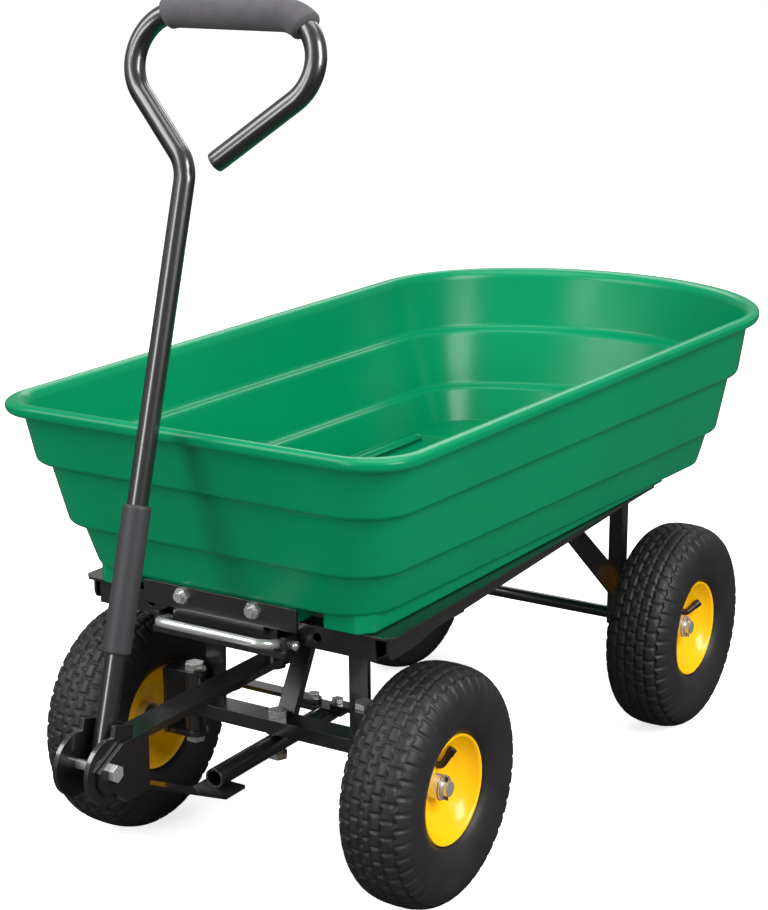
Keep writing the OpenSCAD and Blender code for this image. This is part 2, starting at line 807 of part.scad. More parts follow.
// The rod is bent in one plane, made here flat: X sideways, Y along the legs
module release_handle() {
    leg_len = norm([rod_reach, rod_rise]);
    ear_bend = rod_r + 1;
    bar_bend = 3.2 * rod_r;
    placed() color(ZINC) translate([0, rod_y, rod_z]) rotate([180 - atan2(rod_rise, rod_reach), 0, 0]) {
        for (side = SIDES) mirrored(side) {
            x_rod(rod_r, rod_half + ear_bend, rod_end);
            flat_bend([rod_half + ear_bend, ear_bend], ear_bend, rod_r, 180, 270);
            translate([rod_half, leg_len - bar_bend, 0]) rotate([90, 0, 0])
                cylinder(r = rod_r, h = leg_len - ear_bend - bar_bend);
            flat_bend([rod_half - bar_bend, leg_len - bar_bend], bar_bend, rod_r, 0, 90);
        }
        translate([0, leg_len, 0]) x_rod(rod_r, -rod_half + bar_bend, rod_half - bar_bend);
    }
}

module latch_catch() {
    front = -latch_reach + strike_lip + catch_gap;
    placed() color(BLACK)
        block([-rod_half + rod_r, front, rod_z - 6],
              [rod_half - rod_r, front + catch_t, strike_low + latch_t + 6]);
}

// Hinge brackets under the tub

module hinge_brackets() {
    x1 = hinge_lug_x + hinge_t + face_gap;
    x2 = x1 + hinge_t - face_gap;
    foot = 40;
    foot_t = 4;
    top = floor_low;
    placed() color(BLACK) for (side = SIDES) mirrored(side) difference() {
        intersection() {
            union() {
                block([x1, hinge_reach - lug_r, hinge_z], [x2, hinge_reach + lug_r, top]);
                translate([x1 - foot, 0, 0]) side_plate([
                    [hinge_reach - lug_r, floor_under(hinge_reach - lug_r) - foot_t],
                    [hinge_reach + lug_r, floor_under(hinge_reach + lug_r) - foot_t],
                    [hinge_reach + lug_r, top], [hinge_reach - lug_r, top]
                ], 0, foot + 1);
                translate([0, hinge_reach, hinge_z]) x_rod(lug_r, x1, x2);
            }
            under_floor(0);
        }
        translate([0, hinge_reach, hinge_z]) x_rod(hinge_r + pin_gap, x1 - 1, x2 + 1);
    }
}

// Tongue

tongue_rear = arm_len + 12;
arm_plate_half = tie_x + tie_w / 2;

module tongue_tube() {
    placed() color(BLACK) difference() {
        union() {
            translate([0, tongue_rear, tongue_z]) rotate([90, 0, 0])
                cylinder(r = tongue_r, h = tongue_rear + tongue_front);
            block([-arm_plate_half, arm_len - tie_w / 2, tongue_top - lug_t],
                  [arm_plate_half, tongue_rear, tongue_top]);
        }
        translate([0, -pivot_r - 8, tongue_z]) rotate([90, 0, 0])
            cylinder(r = tongue_r - tongue_wall, h = tongue_front);
        z_rod(pivot_r + pin_gap, 0, axle_beam_low);
        for (side = SIDES) translate([side * tie_x, arm_len, 0]) z_rod(tie_pin_r, 0, axle_beam_low);
    }
}

bar_front = -handle_reach + ear_r + 4;

module tongue_bar() {
    inner = ear_half_gap + ear_t + clevis_gap;
    placed() color(BLACK) difference() {
        union() {
            z_rod(eye_r, bar_low, bar_top);
            block([-bar_w / 2, bar_front, bar_low], [bar_w / 2, 0, bar_top]);
            block([-inner, bar_front, bar_low], [inner, bar_front + 14, bar_top]);
        }
        z_rod(pivot_r + pin_gap, bar_low - 1, bar_top + 1);
    }
}

clevis_low = handle_z - ear_r - 2 - clevis_t;

// A folded channel: two side plates and a floor that slopes down to the lower tube
module clevis() {
    inner = ear_half_gap + ear_t + clevis_gap;
    outer = inner + clevis_t;
    front = -handle_reach - clevis_nose;
    floor_front = -handle_reach + clevis_nose;
    rear = bar_front + 20;
    top = bar_top + 6;
    seat = tongue_z - tongue_r;
    bevel = 18;
    placed() color(BLACK) difference() {
        union() {
            for (side = SIDES) mirrored(side) side_plate([
                [front, handle_z - clevis_nose / 2], [front + clevis_nose / 2, handle_z - clevis_nose],
                [floor_front - clevis_nose, handle_z - clevis_nose], [floor_front, clevis_low],
                [rear, clevis_low], [rear, top],
                [front + 2 * bevel, top], [front, top - bevel]
            ], inner, outer);
            side_plate([
                [floor_front, clevis_low], [rear, clevis_low], [-tongue_front - 10, seat - clevis_t],
                [-tongue_front + 24, seat - clevis_t], [-tongue_front + 24, seat],
                [-tongue_front - 9, seat], [rear + 1, clevis_low + clevis_t],
                [floor_front, clevis_low + clevis_t]
            ], -inner, inner);
        }
        translate([0, -handle_reach, handle_z]) x_rod(handle_bolt_r, -2 * outer, 2 * outer);
    }
}

module handle_bolt() {
    outer = ear_half_gap + ear_t + clevis_gap + clevis_t;
    nut_r = handle_bolt_r + 4;
    nut_t = 6;
    placed() color(ZINC) translate([0, -handle_reach, handle_z]) rotate([0, 90, 0]) {
        z_rod(handle_bolt_r, -outer - nut_t - 3, outer + nut_t);
        z_hex(nut_r, outer, outer + nut_t);
        z_hex(nut_r, -outer - nut_t, -outer);
    }
}

// Bolts of the tie rods stand on their arms, with a head over the rod
module tie_pin() {
    rod_low = tongue_top + face_gap;
    head_low = rod_low + tie_t + face_gap;
    z_rod(tie_pin_r, tongue_top - lug_t - 3, head_low);
    z_hex(tie_pin_r + 3, head_low, head_low + 5);
}

module tongue_pins() {
    placed() color(ZINC) for (side = SIDES) translate([side * tie_x, arm_len, 0]) tie_pin();
}

module arm_pin(side) {
    color(ZINC) translate([side * (kingpin_x + tie_x), arm_len, 0]) tie_pin();
}

module arm_pin_left() { placed() arm_pin(-1); }
module arm_pin_right() { placed() arm_pin(1); }

module tie_rod(side) {
    low = tongue_top + face_gap;
    ends = [tie_x, kingpin_x + tie_x];
    color(BLACK) mirrored(side) translate([0, arm_len, 0]) difference() {
        union() {
            block([ends[0], -tie_w / 2 + 2, low], [ends[1], tie_w / 2 - 2, low + tie_t]);
            for (x = ends) translate([x, 0, 0]) z_rod(tie_w / 2 - 2, low, low + tie_t);
        }
        for (x = ends) translate([x, 0, 0]) z_rod(tie_pin_r + pin_gap, low - 1, low + tie_t + 1);
    }
}

module tie_rod_left() { placed() tie_rod(-1); }
module tie_rod_right() { placed() tie_rod(1); }

// Knuckles: two lugs on the kingpin, a back plate, a steering arm and the stub axle
module knuckle(side) {
    plate_x = kingpin_x + plate_off;
    arm_top = tongue_top;
    arm_x = kingpin_x + tie_x;
    lug_plate_r = pivot_r + 8;
    color(BLACK) mirrored(side) {
        difference() {
            union() {
                for (z = [lug_low, lug_top - lug_t]) {
                    translate([kingpin_x, 0, 0]) z_rod(lug_plate_r, z, z + lug_t);
                    block([kingpin_x, -lug_plate_r, z], [plate_x, lug_plate_r, z + lug_t]);
                }
                block([plate_x, -plate_half, lug_low], [plate_x + plate_t, plate_half, lug_top]);
                translate([0, 0, arm_top - lug_t]) linear_extrude(lug_t) polygon([
                    [plate_x, plate_half - 2], [plate_x + plate_t, plate_half - 2],
                    [arm_x + tie_w / 2 - 2, arm_len], [arm_x - tie_w / 2 + 2, arm_len]
                ]);
                translate([arm_x, arm_len, 0]) z_rod(tie_w / 2 - 2, arm_top - lug_t, arm_top);
            }
            translate([kingpin_x, 0, 0]) z_rod(pivot_r + pin_gap, 0, beam_top);
            translate([arm_x, arm_len, 0]) z_rod(tie_pin_r, 0, axle_beam_low);
        }
        translate([0, 0, axle_z]) {
            axle_end(plate_x + plate_t, front_half_track);
            axle_keeper(front_half_track);
        }
    }
}

module knuckle_left() { placed() knuckle(-1); }
module knuckle_right() { placed() knuckle(1); }

// Handle: its modules stand on the pivot, with the shaft along Z and the rear along Y

module on_handle() {
    placed() translate([0, -handle_reach, handle_z]) rotate([-handle_lean, 0, 0]) children();
}

// The loop lies in the plane of the shaft: X sideways, Z along the shaft
left_c = [-loop_left + loop_left_r, grip_s - loop_left_r];
right_c = [loop_right - loop_right_r, grip_s - loop_right_r];
left_low = left_c - loop_left_r * [cos(45), cos(45)];
open_a = open_leg_slope - 90;
right_low = right_c + loop_right_r * [cos(open_a), sin(open_a)];
open_end = right_low - open_leg_len * [cos(open_leg_slope), sin(open_leg_slope)];
kink = [0, left_low[1] + left_low[0]];
kink_cut = kink_r * tan(22.5);

// A bend is a hair thinner than the straights and runs a little way into them
BEND_STEP = 0.04;
BEND_LAP = 1;

// A bend of the tube about c, from angle a1 to a2 in the loop's plane
module bend(c, bend_r, r, a1, a2) {
    translate([0, shaft_off, 0]) rotate([90, 0, 0]) flat_bend(c, bend_r, r - BEND_STEP, a1, a2);
}

// A straight length of the tube from p to q in the loop's plane
module straight(p, q, r) {
    translate([p[0], shaft_off, p[1]]) rotate([0, atan2(q[0] - p[0], q[1] - p[1]), 0])
        cylinder(r = r, h = norm(q - p));
}

foot_s = handle_bolt_r + 5;

module handle_path(r, extra) {
    open_dir = [cos(open_leg_slope), sin(open_leg_slope)];
    straight([0, foot_s - extra], kink - [0, kink_cut], r);
    bend([-kink_r, kink[1] - kink_cut], kink_r, r, -BEND_LAP, 45 + BEND_LAP);
    straight(kink + kink_cut * [-cos(45), cos(45)], left_low, r);
    bend(left_c, loop_left_r, r, 90 - BEND_LAP, 225 + BEND_LAP);
    straight([left_c[0], grip_s], [right_c[0], grip_s], r);
    bend(right_c, loop_right_r, r, open_a - BEND_LAP, 90 + BEND_LAP);
    straight(open_end - extra * open_dir, right_low, r);
}

module handle_tube() {
    on_handle() color(BLACK) difference() {
        handle_path(handle_r, 0);
        handle_path(handle_r - handle_wall, 1);
    }
}

module handle_bracket() {
    plate_y = shaft_off + handle_r;
    plate_low = -14;
    plate_top = 44;
    on_handle() color(BLACK) difference() {
        union() {
            for (side = SIDES) mirrored(side) {
                x_rod(ear_r, ear_half_gap, ear_half_gap + ear_t);
                block([ear_half_gap, 0, 0], [ear_half_gap + ear_t, plate_y + ear_t, plate_top]);
            }
            block([-ear_half_gap, plate_y, plate_low], [ear_half_gap, plate_y + ear_t, plate_top]);
        }
        x_rod(handle_bolt_r + pin_gap, -2 * ear_half_gap, 2 * ear_half_gap);
    }
}

module grip_path(r, extra) {
    straight([left_c[0], grip_s], [right_c[0], grip_s], r);
    bend(left_c, loop_left_r, r, 90 - BEND_LAP, 90 + grip_bend / 2 + extra);
    bend(right_c, loop_right_r, r, 90 - grip_bend - extra, 90 + BEND_LAP);
}

module grip() {
    on_handle() color(FOAM) difference() {
        grip_path(grip_r, 0);
        grip_path(handle_r, 1);
    }
}

module sleeve() {
    on_handle() color(RUBBER) difference() {
        straight([0, sleeve_s], [0, sleeve_s + sleeve_len], sleeve_r);
        straight([0, sleeve_s - 1], [0, sleeve_s + sleeve_len + 1], handle_r);
    }
}

// Wheels: made at the origin about X, with the outside towards +X

valve_cap_r = valve_r + 0.8;
bead_half = rim_w / 2 - rim_sheet - 2;
bead_r = rim_r - 1;
bead_toe_r = bead_r - 0.71 * tyre_wall;
wide_r = (tyre_r + rim_r) / 2;
TYRE_STEP = 15;

// Half of a tyre's section at a bulge: from the bead out to the widest place and up to the crown
function tyre_side(bead, half, top, inner) = concat(
    [for (a = [90:-TYRE_STEP:TYRE_STEP]) [wide_r - (wide_r - inner) * sin(a), bead + (half - bead) * cos(a)]],
    [for (a = [0:TYRE_STEP:90]) [wide_r + (top - wide_r) * pow(sin(a), 0.75), half * pow(cos(a), 0.75)]]
);

function across(points) = [for (i = [len(points) - 2:-1:0]) [points[i][0], -points[i][1]]];

module tyre_ring() {
    inner_half = tyre_w / 2 - tyre_wall;
    outside = tyre_side(bead_half, tyre_w / 2, tyre_r, rim_r + 0.5);
    inside = tyre_side(bead_half - tyre_wall, inner_half, tyre_r - tyre_wall, rim_r + 1);
    outline = concat(
        [[bead_r, bead_half]], outside, across(outside), [[bead_r, -bead_half]],
        [[bead_toe_r, -bead_half + tyre_wall]],
        [for (p = inside) [p[0], -p[1]]],
        [for (i = [len(inside) - 2:-1:0]) inside[i]],
        [[bead_toe_r, bead_half - tyre_wall]]
    );
    color(RUBBER) rotate([0, 90, 0]) rotate_extrude() polygon(outline);
}

// Half of the pressed rim's section, from the hub out to the flange and back under the tyre
// A valve's place on its wheel
module valve_place(angle) {
    rotate([angle, 0, 0]) translate([0, valve_at_r - valve_r, 0]) children();
}

// A stem that leaves the disc and lies along the dish, grown all round by a clearance
module valve_stem(grown) {
    cap_len = 8;
    seat = rim_disc / 2;
    foot = seat + 2;
    elbow_r = valve_r + 1.5;
    lying = valve_len - elbow_r * tan((90 - valve_lean) / 2);
    x_rod(valve_r + grown, seat, foot);
    flat_bend([foot, elbow_r], elbow_r, valve_r + grown - BEND_STEP,
              270 - 3 * BEND_LAP, 360 - valve_lean + 3 * BEND_LAP);
    translate([foot + elbow_r * cos(valve_lean), elbow_r - elbow_r * sin(valve_lean), 0])
        rotate([0, 0, -valve_lean]) rotate([-90, 0, 0]) {
            cylinder(r = valve_r + grown, h = lying);
            translate([0, 0, lying - cap_len]) cylinder(r = valve_cap_r + grown, h = cap_len + grown);
        }
}

module rim_ring(angle) {
    half = rim_w / 2;
    disc = rim_disc / 2;
    turn = [[hub_r, disc], [rim_disc_r - 8, disc]];
    slope = [
        [rim_disc_r, disc + 3], [rim_r - 12, disc + 12], [rim_r - 7, half - 8], [rim_r - 3.5, half - 2]
    ];
    tip = [[rim_r - 1, half], [rim_r, half - rim_sheet / 2]];
    normal = [[0.47, -0.88], [0.70, -0.71], [0.86, -0.50], [0.86, -0.50]];
    face = concat(turn, slope, tip);
    back = [for (i = [3:-1:0]) slope[i] + rim_sheet * normal[i]];
    right = concat(face, back);
    color(YELLOW) difference() {
        rotate([0, 90, 0]) rotate_extrude()
            polygon(concat(right, [for (i = [len(right) - 1:-1:0]) [right[i][0], -right[i][1]]]));
        valve_place(angle) valve_stem(face_gap);
    }
}

module hub_tube() {
    color(ZINC) difference() {
        x_rod(hub_r, -hub_len / 2, hub_len / 2);
        x_rod(axle_r + hub_gap, -hub_len, hub_len);
    }
}

// The stem stands on the disc at an angle measured from the rear upwards
module valve(angle) {
    color(RUBBER) valve_place(angle) valve_stem(0);
}

FRONT_VALVE = 68;
REAR_VALVE = 33;

module front_wheel(side) {
    placed() mirrored(side) translate([front_half_track, 0, axle_z]) children();
}

module rear_wheel(side) {
    placed() mirrored(side) translate([rear_half_track, wheelbase, axle_z]) children();
}

module tyre_front_left() { front_wheel(-1) tyre_ring(); }
module tyre_front_right() { front_wheel(1) tyre_ring(); }
module tyre_rear_left() { rear_wheel(-1) tyre_ring(); }
module tyre_rear_right() { rear_wheel(1) tyre_ring(); }
module rim_front_left() { front_wheel(-1) rim_ring(FRONT_VALVE); }
module rim_front_right() { front_wheel(1) rim_ring(FRONT_VALVE); }
module rim_rear_left() { rear_wheel(-1) rim_ring(REAR_VALVE); }
module rim_rear_right() { rear_wheel(1) rim_ring(REAR_VALVE); }
module hub_front_left() { front_wheel(-1) hub_tube(); }
module hub_front_right() { front_wheel(1) hub_tube(); }
module hub_rear_left() { rear_wheel(-1) hub_tube(); }
module hub_rear_right() { rear_wheel(1) hub_tube(); }
module valve_front_left() { front_wheel(-1) valve(FRONT_VALVE); }
module valve_front_right() { front_wheel(1) valve(FRONT_VALVE); }
module valve_rear_left() { rear_wheel(-1) valve(REAR_VALVE); }
module valve_rear_right() { rear_wheel(1) valve(REAR_VALVE); }

rail_left();
rail_right();
front_beam();
bolster();
mid_beam();
rear_beam();
leg_left();
leg_right();
centre_brace();
axle_beam();
post_left();
post_right();
diagonal_left();
diagonal_right();
rear_axle();
axle_washers();
hinge_pin();
latch_bracket();
steering_pin();
pivot_bolt();
kingpins();
tub();
latch_plate();
latch_bolts();
hinge_brackets();
release_handle();
latch_catch();
tongue_tube();
tongue_bar();
clevis();
tongue_pins();
handle_bolt();
handle_tube();
handle_bracket();
grip();
sleeve();
knuckle_left();
knuckle_right();
arm_pin_left();
arm_pin_right();
tie_rod_left();
tie_rod_right();
tyre_front_left();
rim_front_left();
hub_front_left();
valve_front_left();
tyre_front_right();
rim_front_right();
hub_front_right();
valve_front_right();
tyre_rear_left();
rim_rear_left();
hub_rear_left();
valve_rear_left();
tyre_rear_right();
rim_rear_right();
hub_rear_right();
valve_rear_right();
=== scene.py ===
"""Looks of a tipping dump cart, built round its packed construction."""
import math

import bpy
import numpy as np
from mathutils import Matrix


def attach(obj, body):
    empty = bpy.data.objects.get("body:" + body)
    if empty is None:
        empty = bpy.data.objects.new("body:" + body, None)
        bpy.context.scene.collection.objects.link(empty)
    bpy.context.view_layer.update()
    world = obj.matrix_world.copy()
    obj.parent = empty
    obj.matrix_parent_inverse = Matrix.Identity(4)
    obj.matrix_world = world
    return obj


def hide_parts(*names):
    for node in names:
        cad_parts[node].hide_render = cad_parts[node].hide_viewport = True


# Lengths are in mm: x from the cart's middle, y back from the front axle, z up from the ground
MM = 0.001
FRONT_AXLE_Y = -264.5
AXLE_Z = 130.0
WHEELBASE = 594.0
# Middle of each wheel, and the way its outside faces
WHEELS = {
    "front_left": (-192.0, 0.0, -1),
    "front_right": (192.0, 0.0, 1),
    "rear_left": (-202.0, WHEELBASE, -1),
    "rear_right": (202.0, WHEELBASE, 1),
}
QUARTER = math.pi / 2


# Finishes

PATCH_DETAIL = 2.0
PATCH_RAMP = (0.35, 0.65)
GRAIN_DETAIL = 3.0
BEVEL_SAMPLES = 6
COAT_ROUGHNESS = 0.08


def linear(hex_colour):
    """An sRGB hex colour as linear light, with alpha 1."""
    parts = [int(hex_colour[i:i + 2], 16) / 255 for i in (1, 3, 5)]
    return [c / 12.92 if c <= 0.04045 else ((c + 0.055) / 1.055) ** 2.4 for c in parts] + [1.0]


def add(tree, kind, settings=None, **inputs):
    """Adds a node; an input is a value, or a (node, output name) pair to link from."""
    node = tree.nodes.new(kind)
    for name, value in (settings or {}).items():
        setattr(node, name, value)
    for name, value in inputs.items():
        socket = node.inputs[name.replace("_", " ")]
        if isinstance(value, tuple) and isinstance(value[0], bpy.types.Node):
            tree.links.new(value[0].outputs[value[1]], socket)
        else:
            socket.default_value = value
    return node


def new_material(name):
    """A material with an empty tree, and its coordinates."""
    material = bpy.data.materials.new(name)
    material.use_nodes = True
    tree = material.node_tree
    tree.nodes.clear()
    return material, tree, add(tree, "ShaderNodeTexCoord")


def close(tree, shader):
    """Joins a shader to the material's output."""
    add(tree, "ShaderNodeOutputMaterial", Surface=(shader, "BSDF"))


def mottled(tree, coords, colour, amount, patch_mm):
    """A colour that drifts by a share of itself in soft patches of a given size."""
    noise = add(tree, "ShaderNodeTexNoise", Vector=(coords, "Object"), Scale=1 / (patch_mm * MM),
                Detail=PATCH_DETAIL)
    low = [c * (1 - amount) for c in colour[:3]] + [1.0]
    high = [min(1.0, c * (1 + amount)) for c in colour[:3]] + [1.0]
    ramp = add(tree, "ShaderNodeValToRGB", Fac=(noise, "Fac"))
    for element, place, shade in zip(ramp.color_ramp.elements, PATCH_RAMP, (low, high)):
        element.position = place
        element.color = shade
    return ramp


def grain(tree, coords, grain_mm, height_mm, strength, under=None):
    """A bump of fine noise, grains of one size and a height in mm, over another normal."""
    noise = add(tree, "ShaderNodeTexNoise", Vector=(coords, "Object"), Scale=1 / (grain_mm * MM),
                Detail=GRAIN_DETAIL)
    bump = add(tree, "ShaderNodeBump", Height=(noise, "Fac"), Distance=height_mm * MM, Strength=strength)
    if under is not None:
        tree.links.new(under.outputs["Normal"], bump.inputs["Normal"])
    return bump


def plain_finish(name, colour, roughness, bump, edge_mm=0.0, metallic=0.0, drift=(0.06, 60.0),
                 coat=0.0, shine=0.5):
    """A painted, moulded or plated finish with rounded edges. bump is the grain's size and height
    in mm and its strength, and drift is the colour's change and the size of its patches in mm."""
    material, tree, coords = new_material(name)
    under = None
    if edge_mm:
        under = add(tree, "ShaderNodeBevel", {"samples": BEVEL_SAMPLES}, Radius=edge_mm * MM)
    grained = grain(tree, coords, *bump, under)
    tint = mottled(tree, coords, linear(colour), *drift)
    shader = add(tree, "ShaderNodeBsdfPrincipled", Base_Color=(tint, "Color"), Roughness=roughness,
                 Metallic=metallic, Normal=(grained, "Normal"), Coat_Weight=coat,
                 Coat_Roughness=COAT_ROUGHNESS)
    shader.inputs["Specular IOR Level"].default_value = shine
    close(tree, shader)
    return material


# Deep even green, with soft broad highlights that waver slightly along the wall
GREEN = plain_finish("Glossy green moulded plastic", "#007C52", 0.24, (9.0, 0.05, 0.25),
                     drift=(0.04, 180.0), shine=0.18)
# Near black, with a clear shine on top and pale lines along its softened edges
BLACK = plain_finish("Gloss black powder coat", "#151416", 0.3, (2.2, 0.03, 0.3), edge_mm=1.2,
                     coat=0.8, shine=0.8)
# Dark grey that is dull in the grooves and catches a wide sheen on the side walls
RUBBER = plain_finish("Satin black tyre rubber", "#232224", 0.5, (1.4, 0.08, 0.5),
                      drift=(0.12, 30.0), shine=0.35)
# Strong warm yellow, with small bright highlights round the dish
YELLOW = plain_finish("Gloss yellow paint", "#FFC000", 0.26, (2.5, 0.02, 0.3), drift=(0.03, 50.0),
                      coat=0.15, shine=0.3)
# Pale silver that takes its light and dark from what stands round it
ZINC = plain_finish("Bright zinc plate", "#D2D3D1", 0.26, (0.8, 0.02, 0.4), edge_mm=0.6,
                    metallic=0.75)
# Soft charcoal with an open, pitted skin and no highlight
FOAM = plain_finish("Matt charcoal foam", "#4B494C", 0.85, (1.1, 0.25, 0.7), drift=(0.1, 12.0))
# Dark grey, duller than the painted tube that it covers
SLEEVE = plain_finish("Matt dark grey plastic sleeve", "#2E2D30", 0.55, (0.9, 0.06, 0.5),
                      drift=(0.06, 25.0))
# Plain black with a small soft highlight
VALVE = plain_finish("Black valve rubber", "#111112", 0.45, (0.7, 0.03, 0.4), edge_mm=0.8)


# Surfaces

CORNER_SHARE = 0.45


def grid(*coordinates):
    """Points from arrays of their coordinates, each spread over one shared grid."""
    return np.stack(np.broadcast_arrays(*coordinates), -1)


def full_turn(count):
    """Equal angles once round."""
    return np.linspace(0, 2 * math.pi, count, endpoint=False)


def smooth_step(x, edge, width):
    """0 below an edge and 1 above it, along a cubic of a given width."""
    t = np.clip((x - edge) / width + 0.5, 0, 1)
    return t * t * (3 - 2 * t)


def round_over(distance, radius):
    """0 at an end and 1 from a radius away from it, along a quarter circle."""
    t = 1 - np.clip(distance / radius, 0, 1)
    return np.sqrt(np.clip(1 - t ** 2, 0, 1))


def surface(name, points, material, closed_rows=True, closed_columns=False, flipped=False):
    """A mesh through a grid of points, with a four sided face between each point and the next in its
    row and column. A mirrored grid is flipped, so that its faces point outwards."""
    n, m = points.shape[:2]
    places = (points.reshape(-1, 3) + [0.0, FRONT_AXLE_Y, 0.0]) * MM
    i = np.arange(n if closed_columns else n - 1)[:, None]
    j = np.arange(m if closed_rows else m - 1)[None, :]
    a = i * m + j
    b = i * m + (j + 1) % m
    c = (i + 1) % n * m + (j + 1) % m
    d = (i + 1) % n * m + j
    faces = np.stack([a, d, c, b] if flipped else [a, b, c, d], -1).reshape(-1, 4)
    mesh = bpy.data.meshes.new(name)
    mesh.from_pydata(places.tolist(), [], faces.tolist())
    mesh.shade_smooth()
    mesh.materials.append(material)
    obj = bpy.data.objects.new(name, mesh)
    bpy.context.scene.collection.objects.link(obj)
    return obj


def rounded(points, radius, steps=5):
    """A line of points whose corners are cut by curves: each corner becomes a quadratic arc between
    two points that lie at the radius, or at a share of the shorter side, from it."""
    points = np.array(points, float)
    corner = points[1:-1]
    to_before = points[:-2] - corner
    to_after = points[2:] - corner
    before = np.linalg.norm(to_before, axis=1, keepdims=True)
    after = np.linalg.norm(to_after, axis=1, keepdims=True)
    reach = np.minimum(radius, CORNER_SHARE * np.minimum(before, after))
    start = corner + to_before / before * reach
    end = corner + to_after / after * reach
    t = np.linspace(0, 1, steps)[:, None]
    curves = (1 - t) ** 2 * start[:, None] + 2 * t * (1 - t) * corner[:, None] + t ** 2 * end[:, None]
    return np.vstack([points[:1], curves.reshape(-1, points.shape[1]), points[-1:]])


# Tub

TUB_FRONT_HALF = 250.0
TUB_REAR_HALF = 263.0
TUB_FRONT_Y = -172.0
TUB_REAR_Y = 875.0
ROUND_START_Y = 650.0
CORNER_R = 58.0
CORNER_TUCK = 0.05
CORNER_LEAST = 8.0
REAR_SLOPE = 1.75
TUB_ROUND = 6.5
# Points of half the plan: on its front, corner, side and rear
FRONT_COUNT = 13
CORNER_COUNT = 14
SIDE_COUNT = 24
REAR_COUNT = 48
HALF_COUNT = FRONT_COUNT + CORNER_COUNT + SIDE_COUNT + REAR_COUNT
# Inset from the rim, height at the front and drop to the rear
TUB_SECTION = [
    (90, 338, 18), (67, 338, 18), (55, 386, 22), (45, 388, 22), (32, 454, 15), (22, 456, 15),
    (13, 510, 0), (2.1, 510, 0), (0, 513.5, 0), (0, 519.8, 0), (3.5, 523, 0), (8.4, 524, 0),
    (13, 521.9, 0), (17, 515.6, 0), (26, 459, 15), (36, 457, 15), (49, 391, 22), (59, 389, 22),
    (71, 342, 18), (74, 342, 18),
]


def along(y):
    """The share of a drop to the rear that is reached at a place along the tub."""
    return (y - TUB_FRONT_Y) / (TUB_REAR_Y - TUB_FRONT_Y)


def tub_plan(inset):
    """The tub's plan at each inset: a straight front, a quarter circle at the corner, a straight side
    and a quarter of an ellipse round the rear, then the mirror of these."""
    inset = np.reshape(inset, (-1, 1))
    r = np.maximum(CORNER_R - CORNER_TUCK * inset, CORNER_LEAST)
    x = TUB_FRONT_HALF - inset - r
    y = TUB_FRONT_Y + inset + r
    front = grid(x * np.linspace(0, 1, FRONT_COUNT, endpoint=False), y - r)
    turn = np.linspace(0, QUARTER, CORNER_COUNT)
    corner = grid(x + r * np.sin(turn), y - r * np.cos(turn))
    half = TUB_REAR_HALF - inset
    side_x = TUB_FRONT_HALF - inset
    t = np.linspace(0, 1, SIDE_COUNT + 2)[1:-1]
    side = grid(side_x + (half - side_x) * t, y + (ROUND_START_Y - y) * t)
    length = TUB_REAR_Y - REAR_SLOPE * inset - ROUND_START_Y
    turn = np.linspace(0, QUARTER, REAR_COUNT)
    rear = grid(half * np.cos(turn), ROUND_START_Y + length * np.sin(turn))
    right = np.concatenate([front, corner, side, rear], 1)
    left = right[:, -2:0:-1] * [-1, 1]
    return np.concatenate([right, left], 1)


def tub_shell():
    """The tub's wall: its plan at each inset of a rounded section, at the section's height less its
    share of the drop."""
    inset, height, drop = rounded(TUB_SECTION, TUB_ROUND).T[:, :, None]
    plan = tub_plan(inset)
    z = height - drop * along(plan[..., 1])
    return surface("tub_wall", grid(plan[..., 0], plan[..., 1], z), GREEN)


FLOOR_LOW = 338.0
FLOOR_TOP = 342.0
FLOOR_DROP = 18.0
# The floor's edge lies within the wall's foot, and it stops just short of its front and rear ends
FLOOR_INSET = 72.0
FLOOR_NICK = 0.02
FLOOR_ROWS = 300
FLOOR_COLUMNS = 240
# How far in from its edge the floor has gone halfway down to a runner, and over what width
LEVEL_EDGE = 4.0
LEVEL_WIDTH = 6.0
# Each pair is at a runner's front and rear
RUNNER_INNER = (122.0, 128.0)
RUNNER_OUTER = (174.0, 184.0)
RUNNER_Y = (-92.0, 600.0)
RUNNER_LOW = 317.0
RUNNER_WALL = 4.0
RUNNER_STEP = 5.0
RUNNER_BEVEL = 14.0
BOSS_OUTLINE = [(-95, -101), (95, -101), (95, -40), (-95, -40)]
BOSS_LOW = 319.0
FOOT_EDGE = 3.0
FOOT_LAP = 1.5
FOOT_STEPS = 6
FOOT_SIDE_COUNT = 11
# Share of the narrower half width by which the lowest ring is drawn in, to close the underside
FOOT_MIDDLE = 0.98


def runner_edges(y):
    """Inner and outer x of the right runner at a distance along it, on straight lines."""
    t = (y - RUNNER_Y[0]) / (RUNNER_Y[1] - RUNNER_Y[0])
    inner = RUNNER_INNER[0] + (RUNNER_INNER[1] - RUNNER_INNER[0]) * t
    outer = RUNNER_OUTER[0] + (RUNNER_OUTER[1] - RUNNER_OUTER[0]) * t
    return inner, outer


def between(x, low, high):
    """1 between two edges and 0 outside them, by smooth steps that lie inside the edges."""
    rise = smooth_step(x, low + RUNNER_STEP, RUNNER_STEP)
    return rise * (1 - smooth_step(x, high - RUNNER_STEP, RUNNER_STEP))


